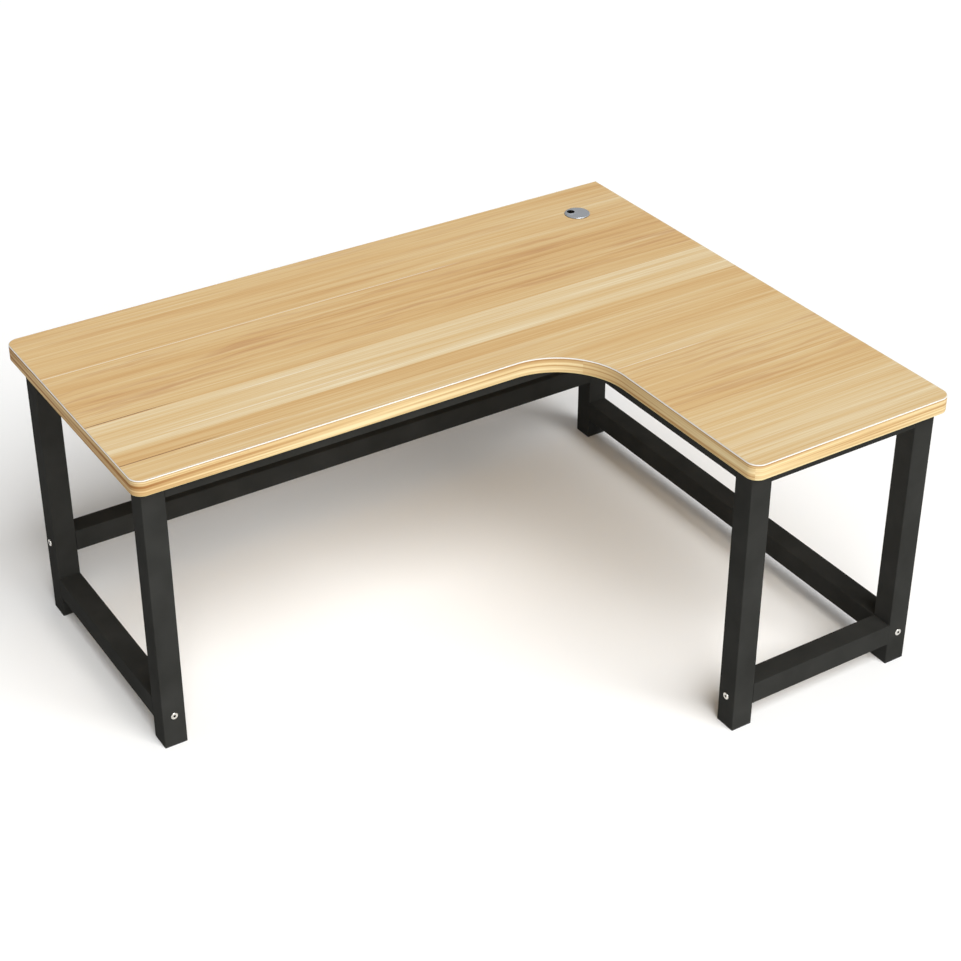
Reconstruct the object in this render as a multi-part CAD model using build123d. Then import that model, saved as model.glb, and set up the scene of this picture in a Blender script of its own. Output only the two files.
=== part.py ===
from build123d import *
import math
import os
from collections import namedtuple

# L-shaped corner desk, in millimetres. +Z is up and the floor is Z = 0. The long side of the
# top runs along X and the return along -Y. The origin is the floor point under the middle of
# the top's outline box, so the desk's inside corner opens towards -X and -Y.

# Desktop
LENGTH = 1725.0            # long side, along X
DEPTH = 1400.0             # whole side along Y, from the back edge to the end of the return
MAIN_DEPTH = 745.0         # depth of the long section
RETURN_WIDTH = 575.0       # width of the return
HEIGHT = 750.0             # floor to the top surface
BOARD_THICK = 40.0
CORNER_R = 30.0            # the four rounded outer corners
INSIDE_R = 180.0           # the curve where the sitter's side turns
BAND = 2.5                 # thickness of the plastic edge band
BAND_EDGE_R = 2.3          # scraped round along the band's two outer edges
INSIDE_SEAM = 38.0         # degrees round the inside curve where two band lengths meet

# How far the top stands out past the legs
OVER_LEFT = 22.0
OVER_FRONT = 25.0
OVER_BACK = 54.0
OVER_WALL = 21.0
OVER_END = 28.0
OVER_INNER = 20.0

# Frame
TUBE = 57.0                # side of the square tube of the legs and low rails
TUBE_WALL = 1.5
TUBE_R = 2.5
TOP_RAIL_W = 25.0
TOP_RAIL_H = 36.0
FOOT_RAIL_Z = 57.5         # underside of the three low rails
BACK_RAIL_Z = 181.5        # underside of the back rail
PLATE = 3.0                # plates that close the legs, and the board tabs
END_PLATE = 4.0

# Joint bolts, M8 x 70
BOLT_R = 4.0
BOLT_LENGTH = 70.0
BOLT_HOLE_R = 4.3
BOLT_HEAD_R = 9.0
BOLT_HEAD_H = 3.4
HEX_SOCKET = 6.0           # across the flats
NUT_FLATS = 13.0
NUT_THICK = 6.5
THREAD_GAP = 0.05          # between any thread and its hole

# Sockets of the top rails
STUB_LENGTH = 36.0
STUB_WALL = 2.5
STUB_GAP = 0.2             # all round, between a stub and the rail that slides over it
STUB_SCREW_R = 3.0
STUB_SCREW_LENGTH = 9.0
STUB_HEAD_R = 5.2
STUB_HEAD_H = 3.2

# Screws that hold the board down
TAB = 30.0
BOARD_SCREW_R = 2.25
BOARD_SCREW_LENGTH = 25.0
BOARD_HEAD_R = 4.5
BOARD_HEAD_H = 2.8
TAB_HOLE_R = 2.75

# Feet
FOOT_FLANGE = 3.0
FOOT_SPIGOT = 18.0
FOOT_WALL = 2.0
FOOT_GAP = 0.2

# Cable grommet
GROMMET_FROM_WALL = 165.0
GROMMET_FROM_BACK = 147.0
GROMMET_BORE_R = 30.0
LINER_R = 29.95
LINER_BORE_R = 28.0
LINER_DEPTH = 22.0
FLANGE_R = 34.0
FLANGE_H = 2.6
SEAT_R = 31.5
SEAT_FLOOR = 0.9           # flange material left under the cap
CAP_R = 31.25
CAP_LIFT = 0.05            # running gap under the cap
CAP_THICK = 1.9
SKIRT_R = 27.95
SKIRT_WALL = 1.8
SKIRT_DEPTH = 7.0
CABLE_R = 10.5
CABLE_OFFSET = 17.5
CABLE_ANGLE = 134.0        # degrees from +X to the cable hole
NOTCH_R = 11.3             # where the hole breaks through the skirt
BEAD_W = 2.4
BEAD_H = 0.9

# Planes that the rest is placed from
LEFT, WALL = -LENGTH / 2, LENGTH / 2
END, BACK = -DEPTH / 2, DEPTH / 2
FRONT = BACK - MAIN_DEPTH
INNER = WALL - RETURN_WIDTH
UNDER_BOARD = HEIGHT - BOARD_THICK
LEG_LEFT = LEFT + OVER_LEFT
LEG_FRONT = FRONT + OVER_FRONT
LEG_BACK = BACK - OVER_BACK
LEG_WALL = WALL - OVER_WALL
LEG_END = END + OVER_END
LEG_INNER = INNER + OVER_INNER

X_AXIS, Y_AXIS, Z_AXIS = Vector(1, 0, 0), Vector(0, 1, 0), Vector(0, 0, 1)

Run = namedtuple("Run", "name start end")
Screw = namedtuple("Screw", "point direction")


def turned_to(point, direction, x_dir=None):
    """A place whose own Z points along direction."""
    return Plane(origin=point, x_dir=x_dir, z_dir=direction)


def across(direction):
    """The horizontal direction square to a horizontal run."""
    return Y_AXIS if abs(direction.X) > 0.5 else X_AXIS


def tube(start, end, width, height, x_dir):
    """Hollow rectangular tube with rounded corners between two centre points."""
    place = turned_to(start, (end - start).normalized(), x_dir)
    outside = RectangleRounded(width, height, TUBE_R)
    inside = Rectangle(width - 2 * TUBE_WALL, height - 2 * TUBE_WALL)
    return extrude(place * (outside - inside), (end - start).length)


def cylinder(place, radius, start, end):
    """Round bar along a place's Z, between two heights over its origin."""
    return extrude(place.offset(start) * Circle(radius), end - start)


def hex_bar(place, flats, start, end):
    hexagon = RegularPolygon(flats / 2, 6, major_radius=False)
    return extrude(place.offset(start) * hexagon, end - start)


# ---- Desktop -------------------------------------------------------------------------------

def outline(inset):
    """The top's plan, moved in from the edge by inset."""
    left, right = LEFT + inset, WALL - inset
    end, back = END + inset, BACK - inset
    inner, front = INNER + inset, FRONT + inset
    corners = [(left, back), (left, front), (inner, front), (inner, end), (right, end), (right, back)]
    plan = make_face(Polyline(*corners, close=True))

    def corner(x, y):
        return plan.vertices().sort_by_distance((x, y, 0))[0]

    rounded = [corner(left, back), corner(left, front), corner(inner, end), corner(right, end)]
    inside = corner(inner, front)
    plan = fillet(rounded, CORNER_R - inset)
    inside = plan.vertices().sort_by_distance(inside.center())[0]
    return fillet(inside, INSIDE_R + inset)


def slab(plan, low, high):
    return extrude(Plane.XY.offset(low) * plan, high - low)


def edge_bands():
    """The band round the board, cut into the lengths that it is glued on in."""
    low, high = UNDER_BOARD, HEIGHT
    whole = slab(outline(0), low, high)
    rims = whole.edges().filter_by(lambda e: abs(e.center().Z - low) < 1e-3 or abs(e.center().Z - high) < 1e-3)
    ring = fillet(rims, BAND_EDGE_R) - slab(outline(BAND), low - 1, high + 1)

    reach = INSIDE_R + 4 * CORNER_R
    curve = Vector(INNER - INSIDE_R, FRONT - INSIDE_R)
    curve_out = curve + Vector(reach, 0).rotate(Axis.Z, INSIDE_SEAM)
    toe = Vector(INNER + CORNER_R, END + CORNER_R)
    toe_out = toe + Vector(2 * CORNER_R, 0).rotate(Axis.Z, 225)
    beyond = 10.0
    zones = {
        "edge_band_back": [
            (LEFT + CORNER_R, BACK - BAND), (WALL + beyond, BACK - BAND),
            (WALL + beyond, BACK + beyond), (LEFT + CORNER_R, BACK + beyond),
        ],
        "edge_band_wall_side": [
            (WALL - BAND, END + CORNER_R), (WALL + beyond, END + CORNER_R),
            (WALL + beyond, BACK - BAND), (WALL - BAND, BACK - BAND),
        ],
        "edge_band_return_end": [
            (toe.X, toe.Y), (toe_out.X, toe_out.Y), (WALL + beyond, toe_out.Y), (WALL + beyond, toe.Y),
        ],
        "edge_band_inside": [
            (curve.X, curve.Y), (toe_out.X, toe_out.Y), (toe.X, toe.Y), (curve_out.X, curve_out.Y),
        ],
    }
    bands, rest = {}, ring
    for name, corners in zones.items():
        zone = slab(make_face(Polyline(*corners, close=True)), low - 1, high + 1)
        bands[name] = ring & zone
        rest = rest - zone
    bands["edge_band_front"] = rest
    return bands


def desktop_board(board_screws, grommet):
    board = slab(outline(BAND), UNDER_BOARD, HEIGHT)
    board -= cylinder(grommet, GROMMET_BORE_R, -BOARD_THICK - 1, 1)
    for screw in board_screws:
        place = turned_to(screw.point, Z_AXIS)
        board -= cylinder(place, BOARD_SCREW_R + THREAD_GAP, 0, BOARD_SCREW_LENGTH)
    return board


# ---- Frame ---------------------------------------------------------------------------------

def leg_places():
    """Centre of each leg in plan."""
    half = TUBE / 2
    return {
        "front_left": (LEG_LEFT + half, LEG_FRONT + half),
        "back_left": (LEG_LEFT + half, LEG_BACK - half),
        "corner": (LEG_WALL - half, LEG_BACK - half),
        "return_outer": (LEG_WALL - half, LEG_END + half),
        "return_inner": (LEG_INNER + half, LEG_END + half),
    }


def low_rails(legs):
    """Square rails, each between two legs and as wide as they are."""
    foot_z, back_z = FOOT_RAIL_Z + TUBE / 2, BACK_RAIL_Z + TUBE / 2
    spans = [
        ("foot_rail_left", "front_left", "back_left", foot_z),
        ("foot_rail_return", "return_inner", "return_outer", foot_z),
        ("side_rail", "return_outer", "corner", foot_z),
        ("back_rail", "back_left", "corner", back_z),
    ]
    runs = []
    for name, first, last, z in spans:
        start, end = Vector(*legs[first], z), Vector(*legs[last], z)
        step = (end - start).normalized() * (TUBE / 2)
        runs.append(Run(name, start + step, end - step))
    return runs


def top_rails():
    """Flat rails under the board. The front one runs on to the wall side as a cross member."""
    half_w, z = TOP_RAIL_W / 2, UNDER_BOARD - TOP_RAIL_H / 2
    left_in, wall_in = LEG_LEFT + TUBE, LEG_WALL - TUBE
    front_y, back_y = LEG_FRONT + half_w, LEG_BACK - half_w
    inner_x, wall_x, end_y = LEG_INNER + half_w, LEG_WALL - half_w, LEG_END + half_w
    lines = {
        "top_rail_front": ((left_in, front_y), (LEG_WALL - TOP_RAIL_W, front_y)),
        "top_rail_back": ((left_in, back_y), (wall_in, back_y)),
        "top_rail_left": ((left_in - half_w, LEG_FRONT + TUBE), (left_in - half_w, LEG_BACK - TUBE)),
        "top_rail_wall": ((wall_x, LEG_END + TUBE), (wall_x, LEG_BACK - TUBE)),
        "top_rail_return_end": ((LEG_INNER + TUBE, end_y), (wall_in, end_y)),
        "top_rail_inside": ((inner_x, LEG_END + TUBE), (inner_x, LEG_FRONT)),
    }
    return [Run(name, Vector(*a, z), Vector(*b, z)) for name, (a, b) in lines.items()]


def rail_ends(run):
    """Each end of a run, with the direction that points into the rail."""
    into = (run.end - run.start).normalized()
    return [(run.start, into), (run.end, into * -1)]


def joint_bolts(rails):
    """One bolt through the leg at each end of each low rail."""
    return [Screw(point - into * TUBE, into) for run in rails for point, into in rail_ends(run)]


def leg(x, y, bolts):
    post = tube(Vector(x, y, FOOT_FLANGE), Vector(x, y, UNDER_BOARD - PLATE), TUBE, TUBE, X_AXIS)
    for bolt in bolts:
        post -= cylinder(turned_to(bolt.point, bolt.direction), BOLT_HOLE_R, -1, TUBE + 1)
    return post


def joint_bolt(bolt):
    """Flat-headed furniture bolt with a domed rim and a hexagon socket."""
    place = turned_to(bolt.point, bolt.direction)
    head = cylinder(place, BOLT_HEAD_R, -BOLT_HEAD_H, 0)
    rim = head.edges().filter_by(GeomType.CIRCLE).sort_by_distance(bolt.point)[-1]
    head = fillet(rim, BOLT_HEAD_H / 2)
    socket = hex_bar(place, HEX_SOCKET, -BOLT_HEAD_H - 1, -0.6)
    return head + cylinder(place, BOLT_R, 0, BOLT_LENGTH) - socket


def end_plate(point, into):
    """Plate that closes a low rail and takes its bolt."""
    place = turned_to(point, into, across(into))
    side = TUBE - 2 * TUBE_WALL
    return extrude(place * Rectangle(side, side), END_PLATE) - cylinder(place, BOLT_HOLE_R, -1, END_PLATE + 1)


def weld_nut(point, into):
    place = turned_to(point, into)
    top = END_PLATE + NUT_THICK
    hole = cylinder(place, BOLT_R + THREAD_GAP, END_PLATE - 1, top + 1)
    return hex_bar(place, NUT_FLATS, END_PLATE, top) - hole


def leg_top_plate(x, y):
    return slab(Pos(x, y) * RectangleRounded(TUBE, TUBE, TUBE_R), UNDER_BOARD - PLATE, UNDER_BOARD)


def foot_plug(x, y):
    """Plastic foot under the leg, with a hollow spigot up inside the tube."""
    side = TUBE - 2 * TUBE_WALL - 2 * FOOT_GAP
    spigot = Rectangle(side, side) - Rectangle(side - 2 * FOOT_WALL, side - 2 * FOOT_WALL)
    flange = slab(Pos(x, y) * RectangleRounded(TUBE, TUBE, TUBE_R), 0, FOOT_FLANGE)
    return flange + slab(Pos(x, y) * spigot, FOOT_FLANGE, FOOT_FLANGE + FOOT_SPIGOT)


def stub(point, into):
    """Short box welded on, which the end of a top rail slides over."""
    inside_w, inside_h = TOP_RAIL_W - 2 * TUBE_WALL, TOP_RAIL_H - 2 * TUBE_WALL
    width, height = inside_w - 2 * STUB_GAP, inside_h - 2 * STUB_GAP
    place = turned_to(point, into, across(into))
    section = Rectangle(width, height) - Rectangle(width - 2 * STUB_WALL, height - 2 * STUB_WALL)
    return extrude(place * section, STUB_LENGTH)


def stub_screws(rails):
    """One screw up through the rail and the stub at each end of each top rail."""
    down = Z_AXIS * (-TOP_RAIL_H / 2)
    return [Screw(point + into * (STUB_LENGTH / 2) + down, Z_AXIS) for run in rails for point, into in rail_ends(run)]


def pan_screw(screw, radius, length, head_r, head_h):
    """Round-headed screw: its head under the point, its shank going up."""
    place = turned_to(screw.point, screw.direction)
    head = cylinder(place, head_r, -head_h, 0)
    rim = head.edges().sort_by(Axis.Z)[0]
    slot = cylinder(place, radius * 0.6, -head_h - 1, -head_h / 2)
    return fillet(rim, head_h * 0.6) + cylinder(place, radius, 0, length) - slot


def tab_places():
    """Middle of each board tab, on the inner side of its rail and flush with the board."""
    off = TOP_RAIL_W + TAB / 2
    z = UNDER_BOARD - PLATE
    left_in, wall_in = LEG_LEFT + TUBE, LEG_WALL - TOP_RAIL_W
    run_x, run_y = wall_in - left_in, LEG_BACK - LEG_END
    places = [(left_in + run_x * t, LEG_FRONT + off, z) for t in (0.08, 0.36, 0.64, 0.92)]
    places += [(left_in + run_x * t, LEG_BACK - off, z) for t in (0.12, 0.5, 0.88)]
    places += [(left_in + TAB / 2, (LEG_FRONT + LEG_BACK) / 2, z)]
    places += [(LEG_WALL - off, LEG_END + run_y * t, z) for t in (0.18, 0.42, 0.8)]
    places += [(LEG_INNER + off, LEG_END + run_y * t, z) for t in (0.14, 0.38)]
    places += [((LEG_INNER + LEG_WALL) / 2, LEG_END + off, z)]
    return [Vector(*p) for p in places]


def board_tab(point):
    place = turned_to(point, Z_AXIS)
    return extrude(place * RectangleRounded(TAB, TAB, 1.0), PLATE) - cylinder(place, TAB_HOLE_R, -1, PLATE + 1)


# ---- Cable grommet -------------------------------------------------------------------------

def grommet_liner(place):
    """Ring pressed into the board, with a flange that the cap sits in."""
    flange = cylinder(place, FLANGE_R, 0, FLANGE_H)
    flange = chamfer(flange.edges().sort_by(Axis.Z)[-1], 1.2)
    liner = flange + cylinder(place, LINER_R, -LINER_DEPTH, 0)
    return liner - cylinder(place, SEAT_R, SEAT_FLOOR, FLANGE_H + 1) - cylinder(place, LINER_BORE_R, -LINER_DEPTH - 1, 2)


def grommet_cap(place):
    """Cover that turns in the liner, with an off-centre cable hole and a bead round it."""
    low = SEAT_FLOOR + CAP_LIFT
    high = low + CAP_THICK
    disc = cylinder(place, CAP_R, low, high)
    disc = fillet(disc.edges().sort_by(Axis.Z)[-1], 0.6)
    skirt = cylinder(place, SKIRT_R, -SKIRT_DEPTH, low) - cylinder(place, SKIRT_R - SKIRT_WALL, -SKIRT_DEPTH - 1, low)
    hole = turned_to(place.origin + Vector(CABLE_OFFSET, 0).rotate(Axis.Z, CABLE_ANGLE), Z_AXIS)
    skirt -= cylinder(hole, NOTCH_R, -SKIRT_DEPTH - 1, low)
    bead = cylinder(hole, CABLE_R + BEAD_W, high - 0.2, high + BEAD_H)
    bead = fillet(bead.edges().sort_by(Axis.Z)[-1], BEAD_H * 0.9)
    return disc + skirt + bead - cylinder(hole, CABLE_R, low - 1, high + BEAD_H + 1)


def group(solids):
    """Separate solids kept together in one node."""
    return Compound(children=list(solids))


def build():
    legs = leg_places()
    rails, flats = low_rails(legs), top_rails()
    bolts, screws = joint_bolts(rails), stub_screws(flats)
    tabs = tab_places()
    held = [Screw(point, Z_AXIS) for point in tabs]
    in_board = [Screw(point + Z_AXIS * PLATE, Z_AXIS) for point in tabs]
    grommet = turned_to(Vector(WALL - GROMMET_FROM_WALL, BACK - GROMMET_FROM_BACK, HEIGHT), Z_AXIS)

    nodes = {"desktop_board": desktop_board(in_board, grommet)}
    nodes.update(edge_bands())
    for name, (x, y) in legs.items():
        nodes["leg_" + name] = leg(x, y, bolts)
        nodes["foot_plug_" + name] = foot_plug(x, y)
    for run in rails:
        nodes[run.name] = tube(run.start, run.end, TUBE, TUBE, across(run.end - run.start))
    for run in flats:
        rail = tube(run.start, run.end, TOP_RAIL_W, TOP_RAIL_H, across(run.end - run.start))
        for screw in screws:
            rail -= cylinder(turned_to(screw.point, Z_AXIS), STUB_SCREW_R + THREAD_GAP, -1, TUBE_WALL + STUB_GAP)
        nodes[run.name] = rail

    stubs = []
    for point, into in (end for run in flats for end in rail_ends(run)):
        place = turned_to(point + into * (STUB_LENGTH / 2) - Z_AXIS * (TOP_RAIL_H / 2), Z_AXIS)
        stubs.append(stub(point, into) - cylinder(place, STUB_SCREW_R + THREAD_GAP, 0, STUB_SCREW_LENGTH))
    ends = [end for run in rails for end in rail_ends(run)]
    nodes["leg_top_plates"] = group(leg_top_plate(x, y) for x, y in legs.values())
    nodes["rail_end_plates"] = group(end_plate(*end) for end in ends)
    nodes["weld_nuts"] = group(weld_nut(*end) for end in ends)
    nodes["joint_bolts"] = group(joint_bolt(bolt) for bolt in bolts)
    nodes["rail_stubs"] = group(stubs)
    nodes["stub_screws"] = group(
        pan_screw(s, STUB_SCREW_R, STUB_SCREW_LENGTH, STUB_HEAD_R, STUB_HEAD_H) for s in screws
    )
    nodes["board_tabs"] = group(board_tab(point) for point in tabs)
    nodes["board_screws"] = group(
        pan_screw(s, BOARD_SCREW_R, BOARD_SCREW_LENGTH, BOARD_HEAD_R, BOARD_HEAD_H) for s in held
    )
    nodes["grommet_liner"] = grommet_liner(grommet)
    nodes["grommet_cap"] = grommet_cap(grommet)
    return nodes


os.makedirs("parts", exist_ok=True)
for node_name, shape in build().items():
    shape.label = node_name
    export_step(shape, f"parts/{node_name}.step")
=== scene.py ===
import bpy
import math
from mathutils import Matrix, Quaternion, Vector


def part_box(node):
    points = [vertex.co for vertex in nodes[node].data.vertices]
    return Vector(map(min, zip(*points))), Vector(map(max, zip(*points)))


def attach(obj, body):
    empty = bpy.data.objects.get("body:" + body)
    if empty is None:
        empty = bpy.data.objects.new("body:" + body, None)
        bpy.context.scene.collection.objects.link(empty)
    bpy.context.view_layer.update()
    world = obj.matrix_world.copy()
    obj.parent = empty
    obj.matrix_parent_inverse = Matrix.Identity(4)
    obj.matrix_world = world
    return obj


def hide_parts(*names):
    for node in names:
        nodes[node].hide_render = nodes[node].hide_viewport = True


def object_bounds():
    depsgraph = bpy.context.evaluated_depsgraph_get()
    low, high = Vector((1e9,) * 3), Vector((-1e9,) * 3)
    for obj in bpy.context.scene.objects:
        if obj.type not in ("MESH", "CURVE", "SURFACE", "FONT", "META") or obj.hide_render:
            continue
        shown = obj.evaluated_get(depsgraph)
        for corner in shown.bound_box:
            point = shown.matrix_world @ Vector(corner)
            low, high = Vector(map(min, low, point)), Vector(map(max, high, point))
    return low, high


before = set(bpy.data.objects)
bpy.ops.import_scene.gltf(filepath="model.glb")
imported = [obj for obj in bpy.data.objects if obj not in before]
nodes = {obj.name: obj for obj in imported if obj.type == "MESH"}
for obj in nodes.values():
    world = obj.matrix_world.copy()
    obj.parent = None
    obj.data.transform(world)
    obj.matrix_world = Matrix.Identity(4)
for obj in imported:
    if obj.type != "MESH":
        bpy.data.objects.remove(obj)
cad_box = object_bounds()

MM = 0.001

# Desktop plan, in metres, as the CAD has it
LEFT, END = cad_box[0][0], cad_box[0][1]
WALL, BACK = cad_box[1][0], cad_box[1][1]
MAIN_DEPTH = 745 * MM
RETURN_WIDTH = 575 * MM
FRONT = BACK - MAIN_DEPTH
INNER = WALL - RETURN_WIDTH
BOARD_LOW, BOARD_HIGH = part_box("desktop_board")[0].z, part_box("desktop_board")[1].z
CORNER_R = 30 * MM
INSIDE_R = 180 * MM
BAND = 2.5 * MM
BAND_EDGE_R = 2.3 * MM
INSIDE_SEAM = 38           # degrees round the inside curve where two band lengths meet
CORNER_SEAM = 225          # the same, round the return's inner corner


# ---- Nodes ---------------------------------------------------------------------------------

# A Mix node's colour sockets, by number, because its other types share their names
MIX_A, MIX_B, MIX_OUT = 6, 7, 2


def linear(code):
    """Linear colour of an sRGB hex value."""
    parts = [int(code[i:i + 2], 16) / 255 for i in (1, 3, 5)]
    return (*[p / 12.92 if p <= 0.04045 else ((p + 0.055) / 1.055) ** 2.4 for p in parts], 1.0)


def add(tree, kind, inputs=(), stops=(), **settings):
    """Adds a node, its settings and ramp stops; each input is a socket to link or a value to set."""
    made = tree.nodes.new(kind)
    for name, value in settings.items():
        setattr(made, name, value)
    for i, (place, code) in enumerate(stops):
        marks = made.color_ramp.elements
        mark = marks[i] if i < 2 else marks.new(place)
        mark.position, mark.color = place, linear(code)
    for key, value in dict(inputs).items():
        if isinstance(value, bpy.types.NodeSocket):
            tree.links.new(value, made.inputs[key])
        else:
            made.inputs[key].default_value = value
    return made


def new_material(name):
    """An empty material and its tree."""
    material = bpy.data.materials.new(name)
    material.use_nodes = True
    material.node_tree.nodes.clear()
    return material, material.node_tree


def finish_material(material, tree, surface):
    """Ends a tree with its one shader."""
    shader = add(tree, "ShaderNodeBsdfPrincipled", surface)
    add(tree, "ShaderNodeOutputMaterial", {"Surface": shader.outputs["BSDF"]})
    return material


def drawn_out(tree, figure, length, width, detail, rough):
    """Grain noise drawn out along the figure's X, from a streak's length and width in metres."""
    scaled = add(tree, "ShaderNodeMapping", {
        "Vector": figure, "Scale": (1 / length, 1 / width, 0.0)})
    grain = add(tree, "ShaderNodeTexNoise", {
        "Vector": scaled.outputs[0], "Scale": 1.0, "Detail": detail, "Roughness": rough})
    return grain.outputs["Fac"]


# ---- Board and edge band -------------------------------------------------------------------

# Printed planks: where each starts, in mm from the back edge, how light it is and how streaky
PLANKS = [
    (0, 0.30, 0.35), (222, 0.20, 0.87), (436, 0.33, 0.30), (482, 0.54, 0.12),
    (617, 0.15, 0.05), (667, 0.37, 0.22), (893, 0.26, 0.58), (1140, 0.46, 0.12),
]
# Thin printed lines, most of them where planks meet: mm from the back edge, then where each starts
# and ends, in mm from the left end. One that starts below 0 runs on to the board's edge
LIGHT_LINES = [
    (224, -300, 1150), (507, 330, 640), (587, 120, 760), (673, 130, 420), (893, 1100, 1450),
]
DARK_LINES = [(477, -300, 250), (666, -300, 280)]
LINE_HALF = 1.5 * MM       # half a printed line's width, as coarse as it needs to show
LINE_FADE = 100 * MM       # over which a line fades at each end
GRAIN_SHIFT = 31.0         # metres of grain between two planks, times their difference in lightness
HEART_WAVE = 34 * MM       # full range of the heartwood's sideways waves


def honey_melamine():
    """Melamine-faced chipboard with a printed honey-coloured plank decor under a clear resin coat.

    It gives broad planks of slightly different tone, some plain and some streaked with wavy
    orange-brown heartwood, thin light and dark lines where some of them meet, straight fine
    fibres along X, and a semi-gloss skin. Bored and cut walls show raw chipboard.
    """
    material, tree = new_material("honey_melamine")
    source = add(tree, "ShaderNodeTexCoord")
    place = source.outputs["Object"]
    apart = add(tree, "ShaderNodeSeparateXYZ", {0: place})
    x, y = apart.outputs["X"], apart.outputs["Y"]

    # Tone and streakiness change in one step where each plank starts
    tone, streaky = PLANKS[0][1:]
    for (start, light, amount), (_, light_before, amount_before) in zip(PLANKS[1:], PLANKS):
        past = add(tree, "ShaderNodeMath", {
            0: y, 1: BACK - start * MM}, operation="LESS_THAN").outputs[0]
        tone = add(tree, "ShaderNodeMath", {
            0: past, 1: light - light_before, 2: tone}, operation="MULTIPLY_ADD").outputs[0]
        streaky = add(tree, "ShaderNodeMath", {
            0: past, 1: amount - amount_before, 2: streaky}, operation="MULTIPLY_ADD").outputs[0]

    def thin_lines(places):
        """1 along each line, fading towards its ends, and 0 away from it."""
        shown = 0.0
        for at, start, end in places:
            middle, half = LEFT + (start + end) / 2 * MM, (end - start) / 2 * MM
            along = add(tree, "ShaderNodeMath", {0: x, 1: middle}, operation="SUBTRACT")
            reach = add(tree, "ShaderNodeMath", {0: along.outputs[0]}, operation="ABSOLUTE")
            held = add(tree, "ShaderNodeMapRange", {
                "Value": reach.outputs[0], "From Min": half, "From Max": half - LINE_FADE,
                "To Min": 0.0, "To Max": 1.0})
            line = add(tree, "ShaderNodeMath", {
                0: y, 1: BACK - at * MM, 2: LINE_HALF}, operation="COMPARE")
            part = add(tree, "ShaderNodeMath", {
                0: line.outputs[0], 1: held.outputs[0]}, operation="MULTIPLY")
            shown = add(tree, "ShaderNodeMath", {
                0: part.outputs[0], 1: shown}, operation="MAXIMUM").outputs[0]
        return shown

    # Each plank is cut from another part of the grain
    own_x = add(tree, "ShaderNodeMath", {0: tone, 1: GRAIN_SHIFT, 2: x}, operation="MULTIPLY_ADD")
    straight = add(tree, "ShaderNodeCombineXYZ", {"X": own_x.outputs[0], "Y": y}).outputs[0]

    # Growth waves move the heartwood sideways by several millimetres over a quarter of a metre
    drift_place = add(tree, "ShaderNodeMapping", {"Vector": straight, "Scale": (4.2, 9.0, 0.0)})
    drift = add(tree, "ShaderNodeTexNoise", {
        "Vector": drift_place.outputs[0], "Scale": 1.0, "Detail": 2.0})
    wavy_y = add(tree, "ShaderNodeMath", {
        0: drift.outputs["Fac"], 1: HEART_WAVE, 2: y}, operation="MULTIPLY_ADD")
    wavy = add(tree, "ShaderNodeCombineXYZ", {
        "X": own_x.outputs[0], "Y": wavy_y.outputs[0]}).outputs[0]

    bands = drawn_out(tree, straight, 1.6, 60 * MM, 1.0, 0.5)
    lines = drawn_out(tree, straight, 1.2, 13 * MM, 2.0, 0.6)
    fibre = drawn_out(tree, straight, 0.45, 3.0 * MM, 2.0, 0.6)
    heart = drawn_out(tree, wavy, 0.38, 16 * MM, 4.0, 0.6)

    # Light sapwood, from the broadest part of the figure to the finest
    total = 0.0
    for part, weight in ((tone, 0.62), (bands, 0.36), (lines, 0.56), (fibre, 0.66)):
        total = add(tree, "ShaderNodeMath", {
            0: part, 1: weight, 2: total}, operation="MULTIPLY_ADD").outputs[0]
    level = add(tree, "ShaderNodeMapRange", {
        "Value": total, "From Min": 0.68, "From Max": 1.36, "To Min": 0.0, "To Max": 1.0})
    sap = add(tree, "ShaderNodeValToRGB", {"Fac": level.outputs[0]}, [
        (0.0, "#c2955f"), (1.0, "#efe1c0"), (0.25, "#d4ad75"), (0.5, "#dcbd89"), (0.75, "#e3cca1")])

    # Heartwood streaks where a plank has them
    streak = add(tree, "ShaderNodeMapRange", {
        "Value": heart, "From Min": 0.51, "From Max": 0.68, "To Min": 0.0, "To Max": 0.85})
    amount = add(tree, "ShaderNodeMath", {0: streak.outputs[0], 1: streaky}, operation="MULTIPLY")
    wood = add(tree, "ShaderNodeMix", {
        "Factor": amount.outputs[0], MIX_A: sap.outputs["Color"], MIX_B: linear("#bf8f62")},
        data_type="RGBA")

    # Printed lines over the wood
    light_part = add(tree, "ShaderNodeMath", {
        0: thin_lines(LIGHT_LINES), 1: 0.7}, operation="MULTIPLY")
    dark_part = add(tree, "ShaderNodeMath", {
        0: thin_lines(DARK_LINES), 1: 0.8}, operation="MULTIPLY")
    with_light = add(tree, "ShaderNodeMix", {
        "Factor": light_part.outputs[0], MIX_A: wood.outputs[MIX_OUT], MIX_B: linear("#f0e6d0")},
        data_type="RGBA")
    printed = add(tree, "ShaderNodeMix", {
        "Factor": dark_part.outputs[0], MIX_A: with_light.outputs[MIX_OUT],
        MIX_B: linear("#7d4f2c")}, data_type="RGBA")

    # Chips 3 mm across on walls that aren't faced
    chips = add(tree, "ShaderNodeTexVoronoi", {"Vector": place, "Scale": 1 / (3 * MM)})
    raw = add(tree, "ShaderNodeValToRGB", {"Fac": chips.outputs["Distance"]}, [
        (0.0, "#c9a26c"), (0.8, "#8a6438")])
    facing = add(tree, "ShaderNodeSeparateXYZ", {0: source.outputs["Normal"]})
    flat = add(tree, "ShaderNodeMath", {0: facing.outputs["Z"]}, operation="ABSOLUTE")
    faced = add(tree, "ShaderNodeMath", {0: flat.outputs[0], 1: 0.5}, operation="GREATER_THAN")
    colour = add(tree, "ShaderNodeMix", {
        "Factor": faced.outputs[0], MIX_A: raw.outputs["Color"], MIX_B: printed.outputs[MIX_OUT]},
        data_type="RGBA")

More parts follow.
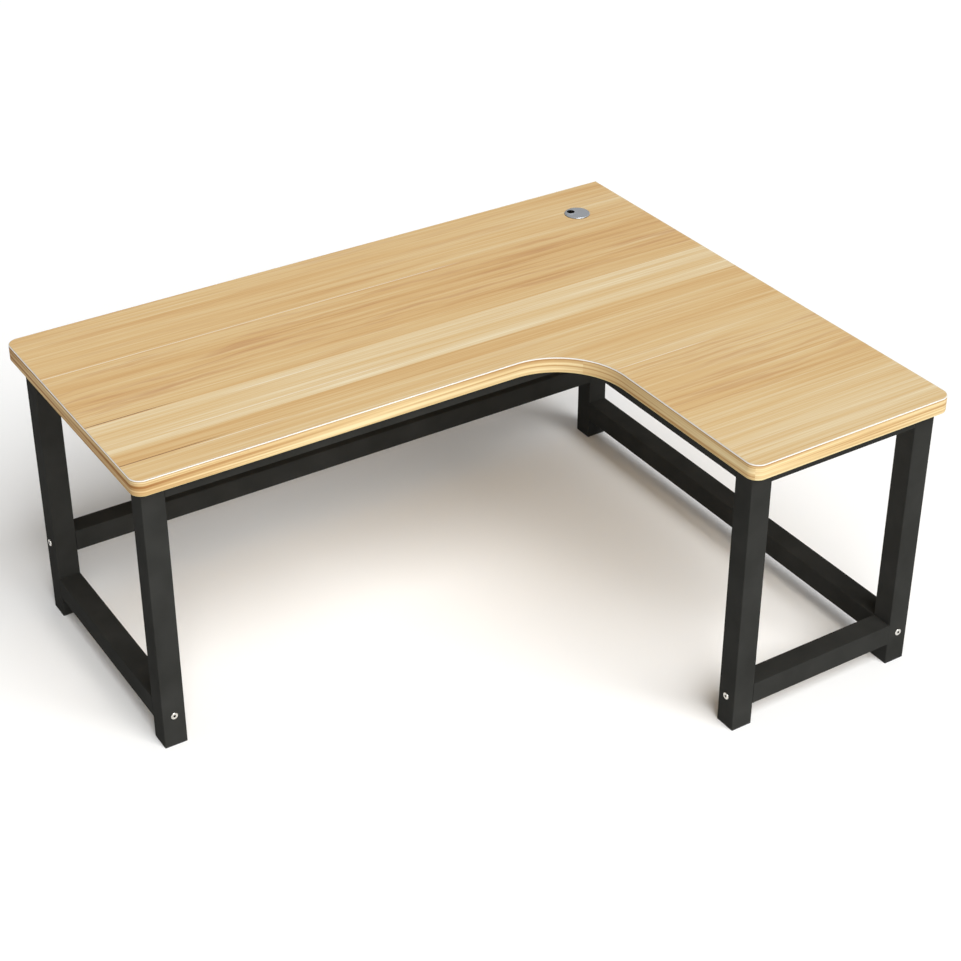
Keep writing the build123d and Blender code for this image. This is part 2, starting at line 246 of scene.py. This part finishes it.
    rough = add(tree, "ShaderNodeMapRange", {
        "Value": lines, "From Min": 0.3, "From Max": 0.7, "To Min": 0.38, "To Max": 0.30})
    press = add(tree, "ShaderNodeBump", {"Height": fibre, "Strength": 0.12, "Distance": 0.08 * MM})
    return finish_material(material, tree, {
        "Base Color": colour.outputs[MIX_OUT], "Roughness": rough.outputs[0],
        "Normal": press.outputs["Normal"], "Specular IOR Level": 0.35,
        "Coat Weight": 0.2, "Coat Roughness": 0.14})


SCRAPED_HIGHLIGHT_DOWN = 1.2 * MM     # middle of the pale line below the board's top face, a scraped line brightened as a painted highlight
DARK_DOWN = 3.7 * MM       # middle of the dark printed stripe below the same face
DARK_HALF = 1.1 * MM       # half that stripe's width


def scraped_edge_band():
    """Printed ABS edge band, glued on, then scraped round along both edges.

    It gives stripes that follow the edge round its corners, the darkest of them under the top
    edge, a slightly different tone for each length of band, painted shade along the front length
    where it runs down the left end, and a pale line top and bottom where the scraper took the print
    off, brightened as a painted highlight along the rounded edges.
    """
    material, tree = new_material("scraped_edge_band")
    band_map = add(tree, "ShaderNodeUVMap", uv_map="band").outputs[0]
    along = add(tree, "ShaderNodeSeparateXYZ", {0: band_map}).outputs["X"]
    place = add(tree, "ShaderNodeTexCoord").outputs["Object"]
    height = add(tree, "ShaderNodeSeparateXYZ", {0: place}).outputs["Z"]
    unrolled = add(tree, "ShaderNodeCombineXYZ", {"X": along, "Y": height}).outputs[0]

    wide = drawn_out(tree, unrolled, 0.8, 11 * MM, 1.0, 0.6)
    narrow = drawn_out(tree, unrolled, 0.5, 3.6 * MM, 2.0, 0.6)
    both = add(tree, "ShaderNodeMath", {0: narrow, 1: 0.65, 2: wide}, operation="MULTIPLY_ADD")
    # Painted shade: the front length is darker where it runs along the left end, away from the light,
    # besides tone that differs between lengths
    print_tone_and_shade = add(tree, "ShaderNodeAttribute", attribute_name="print_tone_and_shade").outputs["Fac"]
    toned = add(tree, "ShaderNodeMath", {0: both.outputs[0], 1: print_tone_and_shade}, operation="ADD")
    level = add(tree, "ShaderNodeMapRange", {
        "Value": toned.outputs[0], "From Min": 0.54, "From Max": 1.08, "To Min": 0.0, "To Max": 1.0})
    print_colour = add(tree, "ShaderNodeValToRGB", {"Fac": level.outputs[0]}, stops=[
        (0.0, "#8e6238"), (1.0, "#d6c398"), (0.3, "#ae8c5e"), (0.6, "#c2a678")])

    # The pale line, partly scraped print and partly a painted highlight, lies on the outer half of the
    # rounded edge
    from_line = add(tree, "ShaderNodeMath", {
        0: height, 1: BOARD_HIGH - SCRAPED_HIGHLIGHT_DOWN}, operation="SUBTRACT")
    off_line = add(tree, "ShaderNodeMath", {0: from_line.outputs[0]}, operation="ABSOLUTE")
    top = add(tree, "ShaderNodeMapRange", {
        "Value": off_line.outputs[0], "From Min": 1.3 * MM, "From Max": 0.9 * MM,
        "To Min": 0.0, "To Max": 1.0})
    low = add(tree, "ShaderNodeMapRange", {
        "Value": height, "From Min": BOARD_LOW + 2.6 * MM, "From Max": BOARD_LOW + 1.6 * MM,
        "To Min": 0.0, "To Max": 0.9})
    stripe = add(tree, "ShaderNodeMath", {
        0: height, 1: BOARD_HIGH - DARK_DOWN, 2: DARK_HALF}, operation="COMPARE")
    part_dark = add(tree, "ShaderNodeMath", {0: stripe.outputs[0], 1: 0.45}, operation="MULTIPLY")
    striped = add(tree, "ShaderNodeMix", {
        "Factor": part_dark.outputs[0], MIX_A: print_colour.outputs["Color"],
        MIX_B: linear("#7a4f2d")}, data_type="RGBA")
    # The pale lines on the bottom and top radii: partly the scraped print, partly a painted highlight
    # along the rounded edges
    with_low = add(tree, "ShaderNodeMix", {
        "Factor": low.outputs[0], MIX_A: striped.outputs[MIX_OUT], MIX_B: linear("#d0bd88")},
        data_type="RGBA")
    colour = add(tree, "ShaderNodeMix", {
        "Factor": top.outputs[0], MIX_A: with_low.outputs[MIX_OUT], MIX_B: linear("#d6d4ce")},
        data_type="RGBA")
    scrape = add(tree, "ShaderNodeBump", {"Height": narrow, "Strength": 0.1, "Distance": 0.08 * MM})
    return finish_material(material, tree, {
        "Base Color": colour.outputs[MIX_OUT], "Roughness": 0.4, "Normal": scrape.outputs["Normal"],
        "Specular IOR Level": 0.01})


# ---- Frame finishes ------------------------------------------------------------------------

def satin_black_powder_coat():
    """Black polyester powder coat baked on steel tube.

    It gives a deep, nearly matt black with a fine orange-peel skin, a little cloudier in
    places, that stays dark on the faces turned from the light.
    """
    material, tree = new_material("satin_black_powder_coat")
    place = add(tree, "ShaderNodeTexCoord").outputs["Object"]
    peel = add(tree, "ShaderNodeTexNoise", {"Vector": place, "Scale": 1 / (1.4 * MM), "Detail": 2.0})
    cloud = add(tree, "ShaderNodeTexNoise", {"Vector": place, "Scale": 9.0, "Detail": 3.0})
    tint = add(tree, "ShaderNodeValToRGB", {"Fac": cloud.outputs["Fac"]}, stops=[
        (0.3, "#2a2a28"), (0.7, "#323230")])
    rough = add(tree, "ShaderNodeMapRange", {
        "Value": cloud.outputs["Fac"], "From Min": 0.3, "From Max": 0.7,
        "To Min": 0.46, "To Max": 0.56})
    skin = add(tree, "ShaderNodeBump", {
        "Height": peel.outputs["Fac"], "Strength": 0.25, "Distance": 0.05 * MM})
    return finish_material(material, tree, {
        "Base Color": tint.outputs["Color"], "Roughness": rough.outputs[0],
        "Normal": skin.outputs["Normal"], "Specular IOR Level": 0.002})


def plated_steel(name, light, dark, rough_low, rough_high):
    """Plated steel: a bright metal with faint rolling marks and duller patches.

    The drive recess is painted near black as painted shade, for the shadow down the hole.
    """
    material, tree = new_material(name)
    place = add(tree, "ShaderNodeTexCoord").outputs["Object"]
    patch = add(tree, "ShaderNodeTexNoise", {"Vector": place, "Scale": 1 / (5 * MM), "Detail": 4.0})
    bright = add(tree, "ShaderNodeValToRGB", {"Fac": patch.outputs["Fac"]}, stops=[
        (0.3, dark), (0.7, light)])
    # Painted shade: the drive recess is coloured near black for the shadow inside it
    recess = add(tree, "ShaderNodeAttribute", attribute_name="recess").outputs["Fac"]
    tint = add(tree, "ShaderNodeMix", {
        "Factor": recess, MIX_A: bright.outputs["Color"], MIX_B: linear("#16140f")},
        data_type="RGBA")
    rough = add(tree, "ShaderNodeMapRange", {
        "Value": patch.outputs["Fac"], "From Min": 0.3, "From Max": 0.7,
        "To Min": rough_high, "To Max": rough_low})
    marks = add(tree, "ShaderNodeTexNoise", {"Vector": place, "Scale": 1 / (0.4 * MM), "Detail": 1.0})
    skin = add(tree, "ShaderNodeBump", {
        "Height": marks.outputs["Fac"], "Strength": 0.1, "Distance": 0.02 * MM})
    return finish_material(material, tree, {
        "Base Color": tint.outputs[MIX_OUT], "Metallic": 1.0, "Roughness": rough.outputs[0],
        "Normal": skin.outputs["Normal"]})


def moulded_nylon():
    """Injection-moulded black nylon.

    It gives a matt spark-eroded skin, greyer where it has scuffed on the floor.
    """
    material, tree = new_material("moulded_nylon")
    place = add(tree, "ShaderNodeTexCoord").outputs["Object"]
    grain = add(tree, "ShaderNodeTexNoise", {"Vector": place, "Scale": 1 / (0.7 * MM), "Detail": 2.0})
    scuff = add(tree, "ShaderNodeTexNoise", {"Vector": place, "Scale": 1 / (14 * MM), "Detail": 4.0})
    tint = add(tree, "ShaderNodeValToRGB", {"Fac": scuff.outputs["Fac"]}, stops=[
        (0.45, "#141414"), (0.75, "#2c2c2b")])
    skin = add(tree, "ShaderNodeBump", {
        "Height": grain.outputs["Fac"], "Strength": 0.3, "Distance": 0.06 * MM})
    return finish_material(material, tree, {
        "Base Color": tint.outputs["Color"], "Roughness": 0.62, "Normal": skin.outputs["Normal"]})


def silver_sprayed_abs():
    """Black ABS with silver lacquer sprayed on its visible side.

    It gives a fine metallic grey on top, and near black down the bore and on faces not turned up:
    partly bare plastic where no spray reached, partly painted shade inside the hole.
    """
    material, tree = new_material("silver_sprayed_abs")
    source = add(tree, "ShaderNodeTexCoord")
    place = source.outputs["Object"]
    flake = add(tree, "ShaderNodeTexVoronoi", {"Vector": place, "Scale": 1 / (0.5 * MM)})
    silver = add(tree, "ShaderNodeValToRGB", {"Fac": flake.outputs["Distance"]}, stops=[
        (0.0, "#c2c6ca"), (0.9, "#a8acb1")])
    height = add(tree, "ShaderNodeSeparateXYZ", {0: place}).outputs["Z"]
    up = add(tree, "ShaderNodeSeparateXYZ", {0: source.outputs["Normal"]}).outputs["Z"]
    # Near black below the board's top and on faces not turned up: partly bare plastic, partly painted
    # shade in the bore
    above = add(tree, "ShaderNodeMath", {
        0: height, 1: BOARD_HIGH + 0.2 * MM}, operation="GREATER_THAN")
    faces_up = add(tree, "ShaderNodeMath", {0: up, 1: 0.1}, operation="GREATER_THAN")
    sprayed_and_unshaded = add(tree, "ShaderNodeMath", {
        0: above.outputs[0], 1: faces_up.outputs[0]}, operation="MULTIPLY")
    colour = add(tree, "ShaderNodeMix", {
        "Factor": sprayed_and_unshaded.outputs[0], MIX_A: linear("#0c0c0c"), MIX_B: silver.outputs["Color"]},
        data_type="RGBA")
    metal = add(tree, "ShaderNodeMath", {0: sprayed_and_unshaded.outputs[0], 1: 0.45}, operation="MULTIPLY")
    skin = add(tree, "ShaderNodeBump", {
        "Height": flake.outputs["Distance"], "Strength": 0.08, "Distance": 0.03 * MM})
    return finish_material(material, tree, {
        "Base Color": colour.outputs[MIX_OUT], "Metallic": metal.outputs[0], "Roughness": 0.38,
        "Normal": skin.outputs["Normal"]})


def studio_floor():
    """Matt white studio paper. It gives a plain pale ground with soft shadows."""
    material, tree = new_material("studio_floor")
    return finish_material(material, tree, {
        "Base Color": linear("#fbfbfa"), "Roughness": 0.9, "Specular IOR Level": 0.1})


laminate = honey_melamine()
edging = scraped_edge_band()
powder = satin_black_powder_coat()
nickel = plated_steel("bright_nickel", "#e6e4de", "#c2c0ba", 0.16, 0.30)
zinc = plated_steel("zinc_plate", "#c4c8cc", "#9aa0a6", 0.30, 0.46)
nylon = moulded_nylon()
silver_abs = silver_sprayed_abs()

# The frame takes the powder coat, and so do the nodes that detailed pieces replace
FINISHES = {"desktop_board": laminate, "weld_nuts": zinc, "foot_plug": nylon, "grommet": silver_abs}
for name, node in nodes.items():
    chosen = next((finish for start, finish in FINISHES.items() if name.startswith(start)), powder)
    for slot in node.material_slots:
        slot.material = chosen


# ---- Meshes --------------------------------------------------------------------------------

def piece_from(name, points, faces, material, sharp):
    """A smooth-shaded piece, with edges sharper than the angle in degrees kept crisp."""
    mesh = bpy.data.meshes.new(name)
    mesh.from_pydata([tuple(p) for p in points], [], faces)
    mesh.materials.append(material)
    mesh.polygons.foreach_set("use_smooth", [True] * len(mesh.polygons))
    mesh.set_sharp_from_angle(angle=math.radians(sharp))
    mesh.update()
    made = bpy.data.objects.new(name, mesh)
    bpy.context.scene.collection.objects.link(made)
    return made


def arc(x, y, radius, start, end, steps=14):
    """Points round a centre, in degrees from +X."""
    turns = [math.radians(start + (end - start) * i / steps) for i in range(steps + 1)]
    return [Vector((x + radius * math.cos(t), y + radius * math.sin(t))) for t in turns]


def band_section():
    """The band's section as (depth from its face, height), from the low inner edge to the high one."""
    r = BAND_EDGE_R
    steps = 6
    low = [math.radians(90 * i / steps) for i in range(steps + 1)]
    bottom = [(r - r * math.sin(t), BOARD_LOW + r - r * math.cos(t)) for t in low]
    top = [(r - r * math.cos(t), BOARD_HIGH - r + r * math.sin(t)) for t in low]
    return [(BAND, BOARD_LOW), *bottom, *top, (BAND, BOARD_HIGH)]


def edge_band(name, path, started, tones_and_shade):
    """Sweeps the section along the outline, with the board on the path's left.

    The print starts at a length of its own and is paler by the two given amounts, at its start and
    end; a dark amount is painted shade where a length faces away from the light.
    """
    section = band_section()
    count = len(section)
    points, faces, lengths = [], [], []
    length = started
    for i, here in enumerate(path):
        before, after = path[max(i - 1, 0)], path[min(i + 1, len(path) - 1)]
        first = (here - before).normalized() if i else (after - here).normalized()
        last = (after - here).normalized() if after is not here else first
        inward = Vector((-(first + last).y, (first + last).x)).normalized()
        length += (here - before).length
        lengths.append(length)
        for depth, z in section:
            flat = here + inward * depth
            points.append((flat.x, flat.y, z))
    for i in range(len(path) - 1):
        for j in range(count):
            a, b = i * count + j, i * count + (j + 1) % count
            faces.append((a, a + count, b + count, b))
    faces.append(tuple(range(count)))
    faces.append(tuple(reversed(range(len(points) - count, len(points)))))
    made = piece_from(name, points, faces, edging, sharp=40)
    layer = made.data.uv_layers.new(name="band")
    for loop in made.data.loops:
        station = loop.vertex_index // count
        layer.data[loop.index].uv = (lengths[station], made.data.vertices[loop.vertex_index].co.z)
    tone = made.data.attributes.new("print_tone_and_shade", "FLOAT", "POINT")
    parts = [(here - lengths[0]) / (lengths[-1] - lengths[0]) for here in lengths]
    tones = [tones_and_shade[0] + (tones_and_shade[1] - tones_and_shade[0]) * part for part in parts for _ in section]
    tone.data.foreach_set("value", tones)
    return made


left_x, right_x, inner_x = LEFT + CORNER_R, WALL - CORNER_R, INNER + CORNER_R
end_y = END + CORNER_R
curve_x, curve_y = INNER - INSIDE_R, FRONT - INSIDE_R
BAND_PATHS = {
    "front": [
        *arc(left_x, BACK - CORNER_R, CORNER_R, 90, 180),
        *arc(left_x, FRONT + CORNER_R, CORNER_R, 180, 270),
        *arc(curve_x, curve_y, INSIDE_R, 90, INSIDE_SEAM, 24)],
    "inside": [
        *arc(curve_x, curve_y, INSIDE_R, INSIDE_SEAM, 0, 18),
        *arc(inner_x, end_y, CORNER_R, 180, CORNER_SEAM, 8)],
    "return_end": [
        *arc(inner_x, end_y, CORNER_R, CORNER_SEAM, 270, 8),
        *arc(right_x, end_y, CORNER_R, 270, 360)],
    "wall_side": [Vector((WALL, end_y)), Vector((WALL, BACK - BAND))],
    "back": [Vector((WALL, BACK)), Vector((left_x, BACK))],
}
# How much paler each length's print is at its start and end: the front length's dark start is painted
# shade along the left end, turned from the light; the rest is tone that differs between lengths
BAND_TONES_AND_SHADE = {
    "front": (-0.22, 0.13), "inside": (0.02, 0.02), "return_end": (0.12, 0.12),
    "wall_side": (0.0, 0.0), "back": (0.0, 0.0),
}
PRINT_STEP = 7.3           # metres of print between the starts of two lengths
for order, (name, path) in enumerate(BAND_PATHS.items()):
    band = edge_band("banding_" + name, path, order * PRINT_STEP, BAND_TONES_AND_SHADE[name])
    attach(band, "desk")
    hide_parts("edge_band_" + name)


# ---- Bolts and screws ----------------------------------------------------------------------

def hexagon(flats):
    """Radius of a hexagon at an angle."""
    return lambda t: flats / 2 / math.cos((t % math.radians(60)) - math.radians(30))


def cross(reach, half):
    """Radius of a cross recess at an angle."""
    def radius(t):
        c, s = max(abs(math.cos(t)), 1e-6), max(abs(math.sin(t)), 1e-6)
        return max(min(reach / c, half / s), min(reach / s, half / c))
    return radius


def fastener(name, head_r, head_h, rim_r, shank_r, length, recess, depth, steps):
    """One screw, its seat at the origin and its shank up +Z, as rings of a radius at each angle."""
    # The drive recess narrows towards its floor and opens in a small chamfer
    rings = [
        (lambda t: recess(t) * 0.9, depth - head_h), (recess, 0.4 * MM - head_h),
        (lambda t: recess(t) + 0.35 * MM, -head_h)]
    rim = [math.radians(90 * i / 5) for i in range(6)]
    turned = [(head_r - rim_r * (1 - math.sin(a)), -head_h + rim_r * (1 - math.cos(a))) for a in rim]
    turned += [(head_r, 0.0), (shank_r, 0.0), (shank_r, length - shank_r * 0.4)]
    turned += [(shank_r * 0.6, length)]
    rings += [(lambda t, r=r: r, z) for r, z in turned]
    points = [(0.0, 0.0, rings[0][1])]
    for radius, z in rings:
        for i in range(steps):
            t = 2 * math.pi * i / steps
            points.append((radius(t) * math.cos(t), radius(t) * math.sin(t), z))
    points.append((0.0, 0.0, length))
    faces = []
    for i in range(steps):
        j = (i + 1) % steps
        faces.append((0, 1 + i, 1 + j))
        for k in range(len(rings) - 1):
            a, b = 1 + k * steps, 1 + (k + 1) * steps
            faces.append((a + i, b + i, b + j, a + j))
        last = 1 + (len(rings) - 1) * steps
        faces.append((last + i, len(points) - 1, last + j))
    mesh = bpy.data.meshes.new(name)
    mesh.from_pydata(points, [], faces)
    mesh.polygons.foreach_set("use_smooth", [True] * len(mesh.polygons))
    mesh.set_sharp_from_angle(angle=math.radians(35))
    # The floor's middle and the first two rings lie in the recess, which the metal's material paints
    # dark as shade
    in_recess = 1 + 2 * steps
    layer = mesh.attributes.new("recess", "FLOAT", "POINT")
    layer.data.foreach_set("value", [1.0] * in_recess + [0.0] * (len(points) - in_recess))
    made = bpy.data.objects.new(name, mesh)
    bpy.context.scene.collection.objects.link(made)
    return made


def new_tree(name, sockets):
    """Geometry tree with named inputs, and its input and output nodes."""
    tree = bpy.data.node_groups.new(name, "GeometryNodeTree")
    tree.interface.new_socket("Geometry", in_out="OUTPUT", socket_type="NodeSocketGeometry")
    for label, kind in [("Geometry", "Geometry"), *sockets]:
        tree.interface.new_socket(label, in_out="INPUT", socket_type="NodeSocket" + kind)
    return tree, add(tree, "NodeGroupInput")


def end_tree(tree, given, instances):
    """Makes the instances real and gives them the tree's material."""
    real = add(tree, "GeometryNodeRealizeInstances", {"Geometry": instances})
    coated = add(tree, "GeometryNodeSetMaterial", {
        "Geometry": real.outputs[0], "Material": given.outputs["Material"]})
    add(tree, "NodeGroupOutput", {"Geometry": coated.outputs[0]})
    return tree


def fastener_tree():
    """Puts one fastener on each point, aimed along the point's aim and stopped at a random turn."""
    tree, given = new_tree("driven_fasteners", [
        ("Fastener", "Object"), ("Seed", "Int"), ("Material", "Material")])
    shape = add(tree, "GeometryNodeObjectInfo", {"Object": given.outputs["Fastener"]})
    aim = add(tree, "GeometryNodeInputNamedAttribute", {"Name": "aim"}, data_type="FLOAT_VECTOR")
    turned = add(tree, "FunctionNodeAlignRotationToVector", {
        "Vector": aim.outputs["Attribute"]}, axis="Z")
    turn = add(tree, "FunctionNodeRandomValue", {
        "Min": (0.0, 0.0, 0.0), "Max": (0.0, 0.0, 2 * math.pi), "Seed": given.outputs["Seed"]},
        data_type="FLOAT_VECTOR")
    twist = add(tree, "FunctionNodeRotateRotation", {
        "Rotation": turned.outputs[0], "Rotate By": turn.outputs[0]}, rotation_space="LOCAL")
    placed = add(tree, "GeometryNodeInstanceOnPoints", {
        "Points": given.outputs["Geometry"], "Instance": shape.outputs["Geometry"],
        "Rotation": twist.outputs[0]})
    return end_tree(tree, given, placed.outputs[0])


def weld_tree():
    """Lays a row of overlapping weld ripples along each edge it is given."""
    tree, given = new_tree("weld_ripples", [
        ("Pitch", "Float"), ("Radius", "Float"), ("Seed", "Int"), ("Material", "Material")])
    line = add(tree, "GeometryNodeMeshToCurve", {"Mesh": given.outputs["Geometry"]})
    spaced = add(tree, "GeometryNodeResampleCurve", {
        "Curve": line.outputs[0], "Length": given.outputs["Pitch"]}, mode="LENGTH")
    ripple = add(tree, "GeometryNodeMeshIcoSphere", {
        "Radius": given.outputs["Radius"], "Subdivisions": 3})
    size = add(tree, "FunctionNodeRandomValue", {
        "Min": (0.88, 0.88, 0.82), "Max": (1.1, 1.1, 1.0), "Seed": given.outputs["Seed"]},
        data_type="FLOAT_VECTOR")
    smooth = add(tree, "GeometryNodeSetShadeSmooth", {
        "Geometry": ripple.outputs[0], "Shade Smooth": True})
    laid = add(tree, "GeometryNodeInstanceOnPoints", {
        "Points": spaced.outputs[0], "Instance": smooth.outputs[0], "Scale": size.outputs[0]})
    return end_tree(tree, given, laid.outputs[0])


def grown(name, tree, points, edges, values, aims=()):
    """Runs a tree over points and edges and keeps the result as a plain mesh."""
    seeds = bpy.data.meshes.new(name)
    seeds.from_pydata([tuple(p) for p in points], edges, [])
    if aims:
        layer = seeds.attributes.new("aim", "FLOAT_VECTOR", "POINT")
        for i, direction in enumerate(aims):
            layer.data[i].vector = direction
    holder = bpy.data.objects.new(name, seeds)
    bpy.context.scene.collection.objects.link(holder)
    modifier = holder.modifiers.new("grow", "NODES")
    modifier.node_group = tree
    sockets = {s.name: s.identifier for s in tree.interface.items_tree if s.in_out == "INPUT"}
    for label, value in values.items():
        modifier[sockets[label]] = value
    bpy.context.view_layer.update()
    shown = holder.evaluated_get(bpy.context.evaluated_depsgraph_get())
    mesh = bpy.data.meshes.new_from_object(shown)
    holder.modifiers.remove(modifier)
    holder.data = mesh
    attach(holder, "desk")
    return holder


def solids_of(node):
    """Box of each separate solid of a CAD node, from triangles that share corners."""
    mesh = nodes[node].data
    grid = 1e5                 # steps to a metre, so that corners within 0.01 mm are one
    keys = [tuple(round(c * grid) for c in v.co) for v in mesh.vertices]
    root = {key: key for key in keys}

    def find(key):
        while root[key] != key:
            root[key] = root[root[key]]
            key = root[key]
        return key

    for polygon in mesh.polygons:
        first, *others = [find(keys[i]) for i in polygon.vertices]
        for other in others:
            root[find(other)] = find(first)
    groups = {}
    for key, vertex in zip(keys, mesh.vertices):
        groups.setdefault(find(key), []).append(vertex.co)
    boxes = [(Vector(map(min, zip(*g))), Vector(map(max, zip(*g)))) for g in groups.values()]
    return sorted(boxes, key=lambda b: (round(b[0].x, 4), round(b[0].y, 4)))


def bolt_seats():
    """Where each joint bolt's head sits on its leg, and which way the bolt goes in."""
    seats, aims = [], []
    for rail in ("foot_rail_left", "foot_rail_return", "side_rail", "back_rail"):
        low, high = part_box(rail)
        middle, size = (low + high) / 2, high - low
        axis = 0 if size.x > size.y else 1
        for side in (-1, 1):
            aim = Vector((0, 0, 0))
            aim[axis] = -side
            # The leg between the rail's end and the head is as wide as the rail is high
            seats.append(middle - aim * (size[axis] / 2 + size.z))
            aims.append(aim)
    return seats, aims


drive = fastener_tree()
bolt = fastener(
    "bolt_pattern", head_r=9 * MM, head_h=3.4 * MM, rim_r=1.7 * MM, shank_r=4 * MM, length=70 * MM,
    recess=hexagon(6 * MM), depth=2.8 * MM, steps=60)
seats, aims = bolt_seats()
bolts = grown(
    "furniture_bolts", drive, seats, [], {"Fastener": bolt, "Seed": 4, "Material": nickel},
    aims)
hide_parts("joint_bolts")

# Name, head radius and height, rounding of the rim, shank radius and length
SCREWS = {
    "board_screws": ("pan_head_wood_screws", 4.5 * MM, 2.8 * MM, 1.6 * MM, 2.25 * MM, 25 * MM),
    "stub_screws": ("pan_head_rail_screws", 5.2 * MM, 3.2 * MM, 1.9 * MM, 3.0 * MM, 9 * MM),
}
patterns = [bolt]
for order, (node, (name, head_r, head_h, rim_r, shank_r, length)) in enumerate(SCREWS.items()):
    recess = cross(0.55 * head_r, 0.13 * head_r)
    pattern = fastener(
        name + "_pattern", head_r, head_h, rim_r, shank_r, length, recess, depth=1.6 * MM, steps=40)
    patterns.append(pattern)
    places = [
        Vector(((low.x + high.x) / 2, (low.y + high.y) / 2, low.z + head_h))
        for low, high in solids_of(node)]
    screws = grown(
        name, drive, places, [], {"Fastener": pattern, "Seed": 9 + order, "Material": zinc},
        [Vector((0, 0, 1))] * len(places))
    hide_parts(node)
for pattern in patterns:
    bpy.data.objects.remove(pattern)


# ---- Welds ---------------------------------------------------------------------------------

WELD_INSET = 2 * MM        # how far a weld stops short of its tab's corners


def tab_welds():
    """The line where each board tab meets the side of its rail."""
    rails = [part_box(name) for name in nodes if name.startswith("top_rail")]
    lines = []
    for low, high in solids_of("board_tabs"):
        for rail_low, rail_high in rails:
            for axis in (0, 1):
                other = 1 - axis
                first, last = low[other] + WELD_INSET, high[other] - WELD_INSET
                beside = rail_low[other] < first and rail_high[other] > last
                for mine, theirs in ((low, rail_high), (high, rail_low)):
                    if beside and abs(mine[axis] - theirs[axis]) < 0.5 * MM:
                        start, end = Vector(low), Vector(low)
                        start[axis] = end[axis] = mine[axis]
                        start[other], end[other] = first, last
                        lines.append((start, end))
    return lines


weld_lines = tab_welds()
weld_points = [p for line in weld_lines for p in line]
weld_edges = [(2 * i, 2 * i + 1) for i in range(len(weld_lines))]
grown("tab_welds", weld_tree(), weld_points, weld_edges,
      {"Pitch": 1.4 * MM, "Radius": 2.1 * MM, "Seed": 3, "Material": powder})


# ---- Stage ---------------------------------------------------------------------------------

FLOOR_HALF = 200.0         # half the floor's side
floor_mesh = bpy.data.meshes.new("floor")
floor_mesh.from_pydata([
    (-FLOOR_HALF, -FLOOR_HALF, 0), (FLOOR_HALF, -FLOOR_HALF, 0),
    (FLOOR_HALF, FLOOR_HALF, 0), (-FLOOR_HALF, FLOOR_HALF, 0)], [], [(0, 1, 2, 3)])
floor_mesh.materials.append(studio_floor())
floor = bpy.data.objects.new("floor", floor_mesh)
bpy.context.scene.collection.objects.link(floor)


def soft_sun(name, toward, strength, spread):
    """A wide sheet of studio light as a sun, so that the floor is even to its far edge."""
    data = bpy.data.lights.new(name, "SUN")
    data.energy, data.angle = strength, math.radians(spread)
    made = bpy.data.objects.new(name, data)
    made.rotation_euler = Vector(toward).to_track_quat("-Z", "Y").to_euler()
    bpy.context.scene.collection.objects.link(made)


def soft_box(name, place, aim, size, power):
    """A round soft box that faces a point."""
    data = bpy.data.lights.new(name, "AREA")
    data.shape, data.size, data.energy = "DISK", size, power
    made = bpy.data.objects.new(name, data)
    made.location = place
    made.rotation_euler = (Vector(aim) - Vector(place)).to_track_quat("-Z", "Y").to_euler()
    bpy.context.scene.collection.objects.link(made)


soft_sun("key", toward=(-0.02, 0.67, -0.743), strength=3.5, spread=48)
soft_box("front_fill", place=(-0.6, -2.6, 0.4), aim=(-0.2, -0.1, 0.4), size=1.2, power=16)

# A pale cove behind the floor's far edge, dimmer overhead
world = bpy.data.worlds.new("studio")
world.use_nodes = True
world_tree = world.node_tree
world_tree.nodes.clear()
direction = add(world_tree, "ShaderNodeTexCoord").outputs["Generated"]
height = add(world_tree, "ShaderNodeSeparateXYZ", {0: direction}).outputs["Z"]
glow = add(world_tree, "ShaderNodeMapRange", {
    "Value": height, "From Min": 0.05, "From Max": 0.13, "To Min": 1.0, "To Max": 0.24})
cove = add(world_tree, "ShaderNodeBackground", {
    "Color": linear("#ffffff"), "Strength": glow.outputs[0]})
add(world_tree, "ShaderNodeOutputWorld", {"Surface": cove.outputs[0]})
bpy.context.scene.world = world
bpy.context.scene.view_settings.view_transform = "Standard"


# ---- Camera --------------------------------------------------------------------------------

AIM = Vector((0.216, 0.3536, 0.4))
DISTANCE = 5.228
toward = Vector((0.45719, 0.7296, -0.50859)).normalized()
ROLL = math.radians(0.184)  # how far the camera leans
camera_data = bpy.data.cameras.new("camera")
camera_data.lens = 75.57
camera_data.shift_x, camera_data.shift_y = 0.0159, -0.0768
camera = bpy.data.objects.new("camera", camera_data)
bpy.context.scene.collection.objects.link(camera)
camera.location = AIM - toward * DISTANCE
level_turn = toward.to_track_quat("-Z", "Y")
camera.rotation_euler = (Quaternion(toward, ROLL) @ level_turn).to_euler()
bpy.context.scene.camera = camera
